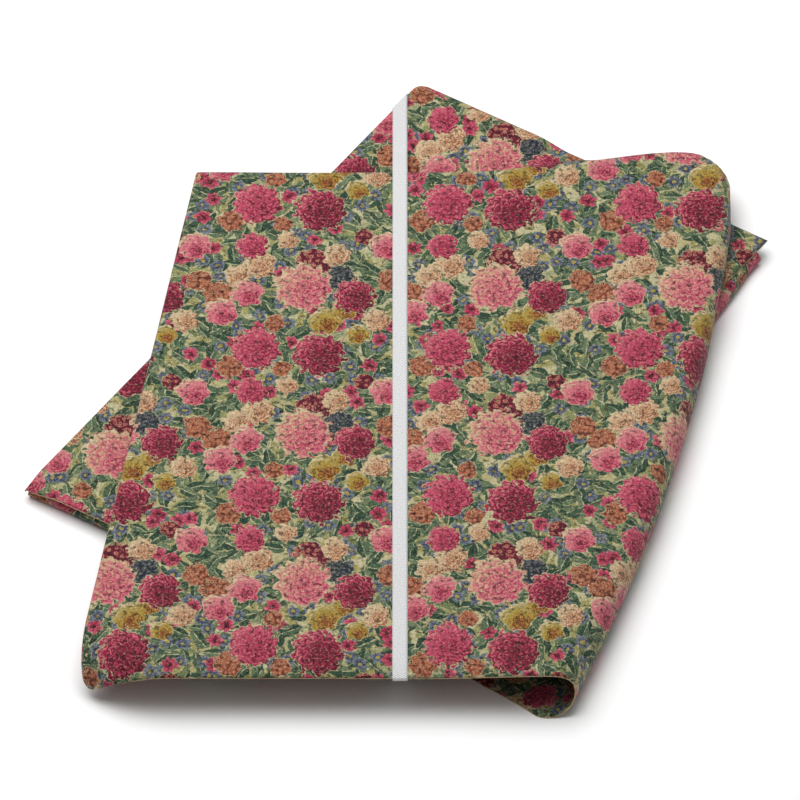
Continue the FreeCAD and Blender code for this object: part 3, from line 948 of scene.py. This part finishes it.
def printed_cotton():
    """The floral print on a plain woven cotton: each thread takes the ink a little differently."""
    material, shader, uv = new_material("floral_cotton", 0.82)
    colour, shade, p = print_colour(uv.tree, uv)
    warp = p.point("MULTIPLY", (1.0, 0.10, 0)).noise(0.9, 1.0)
    weft = p.point("MULTIPLY", (0.10, 1.0, 0)).noise(0.9, 1.0)
    grain = ((warp + weft) * 0.55 + 0.45) * shade
    shaded = colour.point("SCALE", (0, 0, 0))
    shaded.socket.node.inputs[3].default_value = 1.0
    uv.tree.links.new(grain.socket, shaded.socket.node.inputs[3])
    uv.tree.links.new(shaded.socket, shader.inputs["Base Color"])
    shader.inputs["Sheen Weight"].default_value = 0.12
    shader.inputs["Sheen Roughness"].default_value = 0.5
    bump(shader, weave(p, 0.62) * 0.6 + warp * 0.4, 0.35, 0.15 * MM)
    return material


def cut_edge():
    """The raw edge of the doubled cloth: its pale core, specks of ink, and loose fibres."""
    material, shader, uv = new_material("cut_cloth_edge", 0.9)
    p = uv.point("MULTIPLY", (1000, 1000, 0))
    fibres = p.noise(0.8, 3.0)
    blotch = p.noise(7.0, 2.0)
    colour = (fibres * 0.5 + blotch * 0.5).ramp((0.30, GREEN), (0.44, BLUSH), (0.56, PALE), (0.68, CRIMSON))
    uv.tree.links.new(colour.socket, shader.inputs["Base Color"])
    bump(shader, fibres, 0.5, 0.2 * MM)
    return material


def white_tape():
    """Bleached cotton tape in a fine herringbone, with a plain selvedge along both sides."""
    material, shader, uv = new_material("cotton_tape", 0.85)
    p = uv.point("MULTIPLY", (1000, 1000, 0))
    x, y, _ = p.parts()
    ridge = (x * 0.5).math("PINGPONG", 0.8)
    twill = ((y + ridge * 2.0) * 0.5).math("FRACT").math("PINGPONG", 0.5) * 2
    side = x.math("ABSOLUTE").between(5.3, 5.7)
    height = side.mix(twill, (y * 1.6).math("FRACT").math("PINGPONG", 0.5))
    soft = p.noise(1.3, 2.0)
    # The colour is darker where the twill lies low: painted shade in the weave's grooves, mixed with a random
    # tone from the soft noise.
    colour = (twill * 0.5 + soft * 0.5).ramp((0.22, linear(166, 166, 168)), (0.45, linear(206, 206, 207)),
                                            (0.8, linear(230, 230, 230)))
    uv.tree.links.new(colour.socket, shader.inputs["Base Color"])
    bump(shader, height, 0.5, 0.25 * MM)
    return material


def thread():
    """Two-ply sewing thread."""
    material, shader, uv = new_material("sewing_thread", 0.6)
    p = uv.point("MULTIPLY", (1000, 1000, 0))
    x, y, _ = p.parts()
    twist = ((x + y) * 3.0).math("FRACT").math("PINGPONG", 0.5) * 2
    # The colour is darker where the twist lies low: painted shade in the grooves between the plies.
    colour = twist.ramp((0.0, linear(196, 190, 180)), (1.0, linear(238, 235, 228)))
    uv.tree.links.new(colour.socket, shader.inputs["Base Color"])
    bump(shader, twist, 0.6, 0.1 * MM)
    return material


def greyboard():
    """Recycled board: flecks, fibres and a faint layering on its cut edges."""
    material, shader, uv = new_material("greyboard", 0.9)
    tree = uv.tree
    where = Sum(tree, tree.nodes.new("ShaderNodeTexCoord").outputs["Object"])
    p = where.point("MULTIPLY", (1000, 1000, 1000))
    fibres = p.point("MULTIPLY", (1.0, 0.25, 3.0)).noise(2.0, 4.0)
    fibres.socket.node.noise_dimensions = "3D"
    flecks = p.noise(1.1, 2.0)
    colour = (fibres * 0.7 + flecks * 0.3).ramp((0.30, linear(104, 98, 90)), (0.5, linear(148, 141, 130)),
                                               (0.72, linear(172, 165, 152)))
    tree.links.new(colour.socket, shader.inputs["Base Color"])
    bump(shader, fibres, 0.4, 0.2 * MM)
    return material


def white_floor():
    material = bpy.data.materials.new("floor_paint")
    material.use_nodes = True
    shader = material.node_tree.nodes["Principled BSDF"]
    shader.inputs["Base Color"].default_value = (0.97, 0.97, 0.97, 1)
    shader.inputs["Roughness"].default_value = 0.9
    return material


# ---------- the pieces ----------

cloths = [upper_cloth(), lower_cloth(), lower_end_tuck(), lower_turns(), upper_turns()]
cotton, edge = printed_cotton(), cut_edge()
for piece in cloths:
    piece.data.materials.append(cotton)
    piece.data.materials.append(edge)
strap = tie_tape()
strap.data.materials.append(white_tape())
strap.modifiers["thickness"].material_offset_rim = 0
stitches = lap_stitches()
stitches.data.materials.append(thread())
board = greyboard()
for node in ("lower_core_board", "upper_core_board"):
    mesh = bpy.data.objects[node].data
    mesh.materials.clear()
    mesh.materials.append(board)


# ---------- stage ----------

def floor():
    wide = 6
    corners = [(-wide, -wide, 0), (wide, -wide, 0), (wide, wide, 0), (-wide, wide, 0)]
    piece = new_mesh("floor", corners, [(0, 1, 2, 3)], [c[:2] for c in corners])
    piece.data.materials.append(white_floor())


def light(name, place, size, power):
    data = bpy.data.lights.new(name, "AREA")
    data.size = size
    data.energy = power
    lamp = bpy.data.objects.new(name, data)
    lamp.location = place
    lamp.rotation_euler = Vector(place).to_track_quat("Z", "Y").to_euler()
    bpy.context.scene.collection.objects.link(lamp)


def studio_sky(tree):
    """A dim room that is brighter overhead."""
    direction = Sum(tree, tree.nodes.new("ShaderNodeTexCoord").outputs["Generated"])
    height = direction.parts()[2]
    colour = height.ramp((0.0, (0.25, 0.25, 0.25, 1)), (0.15, (0.4, 0.4, 0.4, 1)), (1.0, (1, 1, 1, 1)))
    background = tree.nodes["Background"]
    tree.links.new(colour.socket, background.inputs["Color"])
    background.inputs["Strength"].default_value = 0.365


def camera():
    data = bpy.data.cameras.new("camera")
    data.lens = 900
    data.clip_end = 100
    tilt = math.radians(42.5)
    target = Vector((0.0033, 0.0068, 0))
    distance = 0.680 * data.lens / data.sensor_width
    eye = bpy.data.objects.new("camera", data)
    eye.location = target + distance * Vector((0, -math.cos(tilt), math.sin(tilt)))
    eye.rotation_euler = (math.pi / 2 - tilt, 0, 0)
    bpy.context.scene.collection.objects.link(eye)
    bpy.context.scene.camera = eye


floor()
light("softbox", (-0.45, 0.60, 2.3), 2.7, 79)
world = bpy.data.worlds.new("world")
bpy.context.scene.world = world
world.use_nodes = True
studio_sky(world.node_tree)
camera()
bpy.context.scene.view_settings.view_transform = "Standard"
